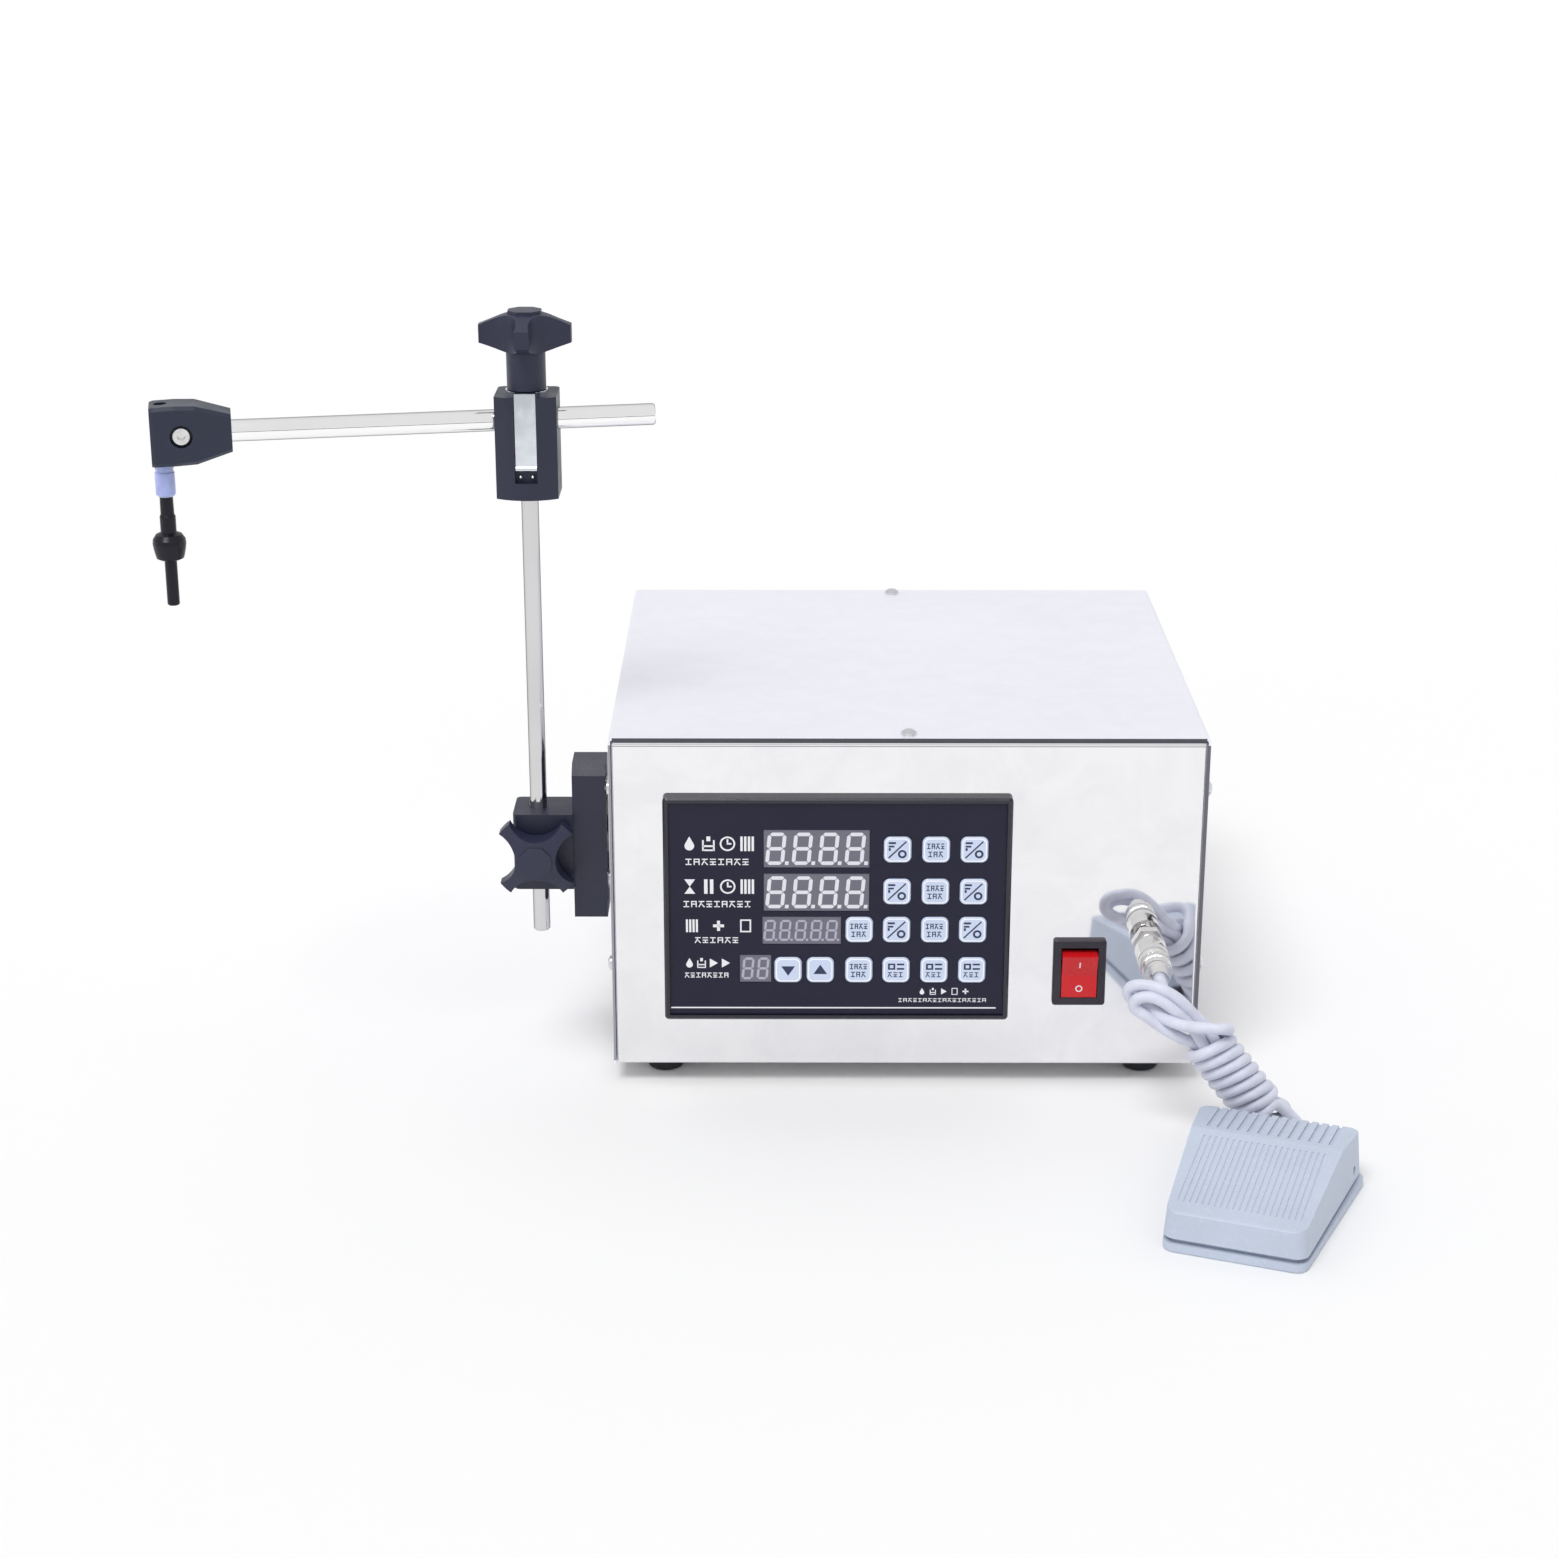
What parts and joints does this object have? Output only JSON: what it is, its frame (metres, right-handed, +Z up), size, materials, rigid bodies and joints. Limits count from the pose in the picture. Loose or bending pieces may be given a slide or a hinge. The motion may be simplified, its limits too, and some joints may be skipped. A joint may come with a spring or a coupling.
{
  "type": "liquid filling machine",
  "caption": "Bench liquid filling machine: steel case with keypad and displays, clamped post and arm carrying a nozzle, and a wired foot pedal.",
  "frame": {"origin": "on the bench under the middle of the whole footprint, cord and hank left out", "axes": "+X to the right along the front panel, +Y from the front panel to the rear, +Z up"},
  "size_m": [0.5511, 0.4732, 0.3764],
  "materials": {
    "case_steel": "fine satin",
    "zinc_screw": "satin",
    "foot_rubber": "matte",
    "panel_black": "satin",
    "overlay_dark": "satin film",
    "display_grey": "satin",
    "key_grey": "satin",
    "board_green": "satin",
    "rocker_red": "gloss",
    "nickel": "polished",
    "cord_grey": "matte",
    "pedal_grey": "satin",
    "pedal_pin_steel": "bright",
    "switch_black": "matte",
    "clamp_dark": "satin",
    "knob_dark": "satin",
    "polished_rod": "polished",
    "holder_dark": "satin",
    "sleeve_blue": "translucent look",
    "nozzle_black": "satin",
    "motor_steel": "satin",
    "pump_brass": "machined",
    "pump_gear_steel": "ground",
    "silicone": "matte",
    "supply_cage": "satin"
  },
  "bodies": {
    "machine": {"chassis": "case_steel", "top_cover": "case_steel", "case_screws": "zinc_screw", "rubber_feet": "foot_rubber", "panel_bezel": "panel_black", "panel_overlay": "overlay_dark", "led_displays": "display_grey", "control_board": "board_green", "switch_body": "panel_black", "cord_socket": "nickel", "plug_body": "nickel", "cord_hank": "cord_grey", "pedal_cord": "cord_grey", "pedal_grommet": "cord_grey", "pedal_base": "pedal_grey", "pedal_pin": "pedal_pin_steel", "pedal_spring": "pedal_pin_steel", "pedal_switch": "switch_black", "mount_bar": "clamp_dark", "mount_screws": "zinc_screw", "clamp_block": "clamp_dark", "pump_motor": "motor_steel", "pump_head": "pump_brass", "pump_hoses": "silicone", "liquid_fittings": "pump_brass", "mains_inlet": "switch_black", "power_supply": "supply_cage"},
    "post": {"post": "polished_rod"},
    "head": {"cross_clamp": "clamp_dark", "clamp_strap": "zinc_screw"},
    "upper_knob": {"top_knob": "knob_dark", "top_knob_stud": "zinc_screw"},
    "lower_knob": {"star_knob": "knob_dark", "star_knob_stud": "zinc_screw"},
    "arm": {"arm_rod": "polished_rod"},
    "nozzle": {"nozzle_holder": "holder_dark", "holder_screw": "zinc_screw", "nozzle_sleeve": "sleeve_blue", "nozzle_tip": "nozzle_black"},
    "rocker": {"switch_rocker": "rocker_red"},
    "treadle": {"pedal_treadle": "pedal_grey"},
    "coupling_ring": {"plug_ring": "nickel"},
    "drive_gear": {"pump_drive": "pump_gear_steel"},
    "idler_gear": {"pump_idler": "pump_gear_steel"},
    "key_body_01": {"key_01": "key_grey"},
    "key_body_02": {"key_02": "key_grey"},
    "key_body_03": {"key_03": "key_grey"},
    "key_body_04": {"key_04": "key_grey"},
    "key_body_05": {"key_05": "key_grey"},
    "key_body_06": {"key_06": "key_grey"},
    "key_body_07": {"key_07": "key_grey"},
    "key_body_08": {"key_08": "key_grey"},
    "key_body_09": {"key_09": "key_grey"},
    "key_body_10": {"key_10": "key_grey"},
    "key_body_11": {"key_11": "key_grey"},
    "key_body_12": {"key_12": "key_grey"},
    "key_body_13": {"key_13": "key_grey"},
    "key_body_14": {"key_14": "key_grey"},
    "key_body_15": {"key_15": "key_grey"},
    "key_body_16": {"key_16": "key_grey"}
  },
  "joints": [
    {"name": "post_lift", "type": "slide", "parent": "machine", "child": "post", "axis": [0, 0, 1], "range_m": [-0.055, 0.03]},
    {"name": "head_swing", "type": "hinge", "parent": "post", "child": "head", "pos_m": [-0.106, -0.0259, 0.291], "axis": [0, 0, 1], "range_deg": [-90, 90]},
    {"name": "arm_slide", "type": "slide", "parent": "head", "child": "arm", "axis": [0.9823, 0.1874, 0], "range_m": [-0.035, 0.11]},
    {"name": "holder_turn", "type": "hinge", "parent": "arm", "child": "nozzle", "pos_m": [-0.25334, -0.05401, 0.326], "axis": [0.9823, 0.1874, 0], "range_deg": [-45, 45]},
    {"name": "upper_knob_turn", "type": "hinge", "parent": "head", "child": "upper_knob", "pos_m": [-0.106, -0.0259, 0.3385], "axis": [0, 0, 1], "range_deg": [0, 360]},
    {"name": "lower_knob_turn", "type": "hinge", "parent": "machine", "child": "lower_knob", "pos_m": [-0.106, -0.0389, 0.118], "axis": [0, -1, 0], "range_deg": [0, 360]},
    {"name": "rocker_tip", "type": "hinge", "parent": "machine", "child": "rocker", "pos_m": [0.1546, -0.0414, 0.0595], "axis": [-1, 0, 0], "range_deg": [0, 18]},
    {"name": "treadle_press", "type": "hinge", "parent": "machine", "child": "treadle", "pos_m": [0.23471, -0.1498, 0.012], "axis": [0.9367, -0.3502, 0], "range_deg": [0, 1.4], "stiffness_Nm_per_rad": 2, "springref_deg": -2.86, "deforming": ["pedal_spring"]},
    {"name": "ring_turn", "type": "hinge", "parent": "machine", "child": "coupling_ring", "pos_m": [0.1875, -0.0639, 0.0745], "axis": [0, 1, 0], "range_deg": [0, 60]},
    {"name": "drive_turn", "type": "hinge", "parent": "machine", "child": "drive_gear", "pos_m": [0.016, 0.1358, 0.05795], "axis": [0, 1, 0], "continuous": true},
    {"name": "idler_turn", "type": "hinge", "parent": "machine", "child": "idler_gear", "pos_m": [0.016, 0.1358, 0.07805], "axis": [0, 1, 0], "continuous": true},
    {"name": "key_press_01", "type": "slide", "parent": "machine", "child": "key_body_01", "axis": [0, 1, 0], "range_m": [0, 0.0006], "stiffness_N_per_m": 1200, "springref_m": -0.0005},
    {"name": "key_press_02", "type": "slide", "parent": "machine", "child": "key_body_02", "axis": [0, 1, 0], "range_m": [0, 0.0006], "stiffness_N_per_m": 1200, "springref_m": -0.0005},
    {"name": "key_press_03", "type": "slide", "parent": "machine", "child": "key_body_03", "axis": [0, 1, 0], "range_m": [0, 0.0006], "stiffness_N_per_m": 1200, "springref_m": -0.0005},
    {"name": "key_press_04", "type": "slide", "parent": "machine", "child": "key_body_04", "axis": [0, 1, 0], "range_m": [0, 0.0006], "stiffness_N_per_m": 1200, "springref_m": -0.0005},
    {"name": "key_press_05", "type": "slide", "parent": "machine", "child": "key_body_05", "axis": [0, 1, 0], "range_m": [0, 0.0006], "stiffness_N_per_m": 1200, "springref_m": -0.0005},
    {"name": "key_press_06", "type": "slide", "parent": "machine", "child": "key_body_06", "axis": [0, 1, 0], "range_m": [0, 0.0006], "stiffness_N_per_m": 1200, "springref_m": -0.0005},
    {"name": "key_press_07", "type": "slide", "parent": "machine", "child": "key_body_07", "axis": [0, 1, 0], "range_m": [0, 0.0006], "stiffness_N_per_m": 1200, "springref_m": -0.0005},
    {"name": "key_press_08", "type": "slide", "parent": "machine", "child": "key_body_08", "axis": [0, 1, 0], "range_m": [0, 0.0006], "stiffness_N_per_m": 1200, "springref_m": -0.0005},
    {"name": "key_press_09", "type": "slide", "parent": "machine", "child": "key_body_09", "axis": [0, 1, 0], "range_m": [0, 0.0006], "stiffness_N_per_m": 1200, "springref_m": -0.0005},
    {"name": "key_press_10", "type": "slide", "parent": "machine", "child": "key_body_10", "axis": [0, 1, 0], "range_m": [0, 0.0006], "stiffness_N_per_m": 1200, "springref_m": -0.0005},
    {"name": "key_press_11", "type": "slide", "parent": "machine", "child": "key_body_11", "axis": [0, 1, 0], "range_m": [0, 0.0006], "stiffness_N_per_m": 1200, "springref_m": -0.0005},
    {"name": "key_press_12", "type": "slide", "parent": "machine", "child": "key_body_12", "axis": [0, 1, 0], "range_m": [0, 0.0006], "stiffness_N_per_m": 1200, "springref_m": -0.0005},
    {"name": "key_press_13", "type": "slide", "parent": "machine", "child": "key_body_13", "axis": [0, 1, 0], "range_m": [0, 0.0006], "stiffness_N_per_m": 1200, "springref_m": -0.0005},
    {"name": "key_press_14", "type": "slide", "parent": "machine", "child": "key_body_14", "axis": [0, 1, 0], "range_m": [0, 0.0006], "stiffness_N_per_m": 1200, "springref_m": -0.0005},
    {"name": "key_press_15", "type": "slide", "parent": "machine", "child": "key_body_15", "axis": [0, 1, 0], "range_m": [0, 0.0006], "stiffness_N_per_m": 1200, "springref_m": -0.0005},
    {"name": "key_press_16", "type": "slide", "parent": "machine", "child": "key_body_16", "axis": [0, 1, 0], "range_m": [0, 0.0006], "stiffness_N_per_m": 1200, "springref_m": -0.0005}
  ],
  "couplings": [
    {"joint": "idler_turn", "follows": "drive_turn", "ratio": -1}
  ]
}
